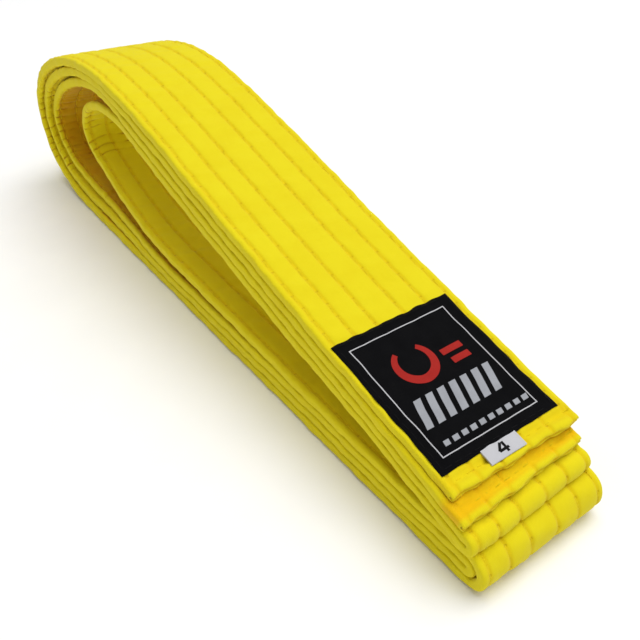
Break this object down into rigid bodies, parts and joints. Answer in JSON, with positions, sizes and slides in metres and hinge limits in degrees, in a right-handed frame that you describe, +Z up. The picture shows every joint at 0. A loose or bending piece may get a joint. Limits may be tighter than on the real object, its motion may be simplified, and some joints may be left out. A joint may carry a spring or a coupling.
{
  "type": "martial arts belt",
  "caption": "Stitched cotton belt for a martial arts suit, folded into a long bundle with looped far end, sewn woven label and small size tag.",
  "frame": {"origin": "below the middle of the bundle's box, on the surface that it lies on", "axes": "+X along the bundle to the labelled end, +Y across the belt, +Z up"},
  "size_m": [0.254, 0.04, 0.0649],
  "materials": {
    "cotton_cover": "matte woven cotton",
    "core_batting": "matte felt",
    "seam_thread": "satin thread",
    "woven_label": "matte woven polyester",
    "label_thread": "satin thread",
    "satin_tape": "satin"
  },
  "bodies": {
    "bundle_base": {"lower_fold_outer_cover": "cotton_cover", "lower_fold_outer_core": "core_batting", "lower_fold_inner_cover": "cotton_cover", "lower_fold_inner_core": "core_batting", "far_loop_outer_cover": "cotton_cover", "far_loop_outer_core": "core_batting", "far_loop_second_cover": "cotton_cover", "far_loop_second_core": "core_batting", "far_loop_third_cover": "cotton_cover", "far_loop_third_core": "core_batting", "far_loop_inner_cover": "cotton_cover", "far_loop_inner_core": "core_batting"},
    "upper_stack": {"top_run_cover": "cotton_cover", "top_run_core": "core_batting", "second_run_cover": "cotton_cover", "second_run_core": "core_batting", "upper_fold_cover": "cotton_cover", "upper_fold_core": "core_batting"},
    "label_end": {"label_end_cover": "cotton_cover", "label_end_core": "core_batting", "label": "woven_label", "label_stitching": "label_thread", "label_end_hem_stitches": "seam_thread"},
    "plain_end": {"plain_end_cover": "cotton_cover", "plain_end_core": "core_batting", "plain_end_hem_stitches": "seam_thread"},
    "size_tag": {"size_tag": "satin_tape"}
  },
  "joints": [
    {"name": "stack_open", "type": "hinge", "parent": "bundle_base", "child": "upper_stack", "pos_m": [-0.115, 0, 0.0245], "axis": [0, -1, 0], "range_deg": [0, 25], "deforming": ["far_loop_outer_cover", "far_loop_outer_core", "far_loop_second_cover", "far_loop_second_core", "far_loop_third_cover", "far_loop_third_core", "far_loop_inner_cover", "far_loop_inner_core"]},
    {"name": "label_end_lift", "type": "hinge", "parent": "upper_stack", "child": "label_end", "pos_m": [0.05534, 0, 0.03916], "axis": [0, -1, 0], "range_deg": [0, 60]},
    {"name": "plain_end_lift", "type": "hinge", "parent": "upper_stack", "child": "plain_end", "pos_m": [0.05534, 0, 0.03565], "axis": [0, -1, 0], "range_deg": [0, 30]},
    {"name": "size_tag_flip", "type": "hinge", "parent": "label_end", "child": "size_tag", "pos_m": [0.1112, 0, 0.0269], "axis": [0, -1, 0], "range_deg": [0, 110]}
  ],
  "couplings": [
    {"joint": "plain_end_lift", "follows": "label_end_lift", "ratio": 0.5}
  ]
}
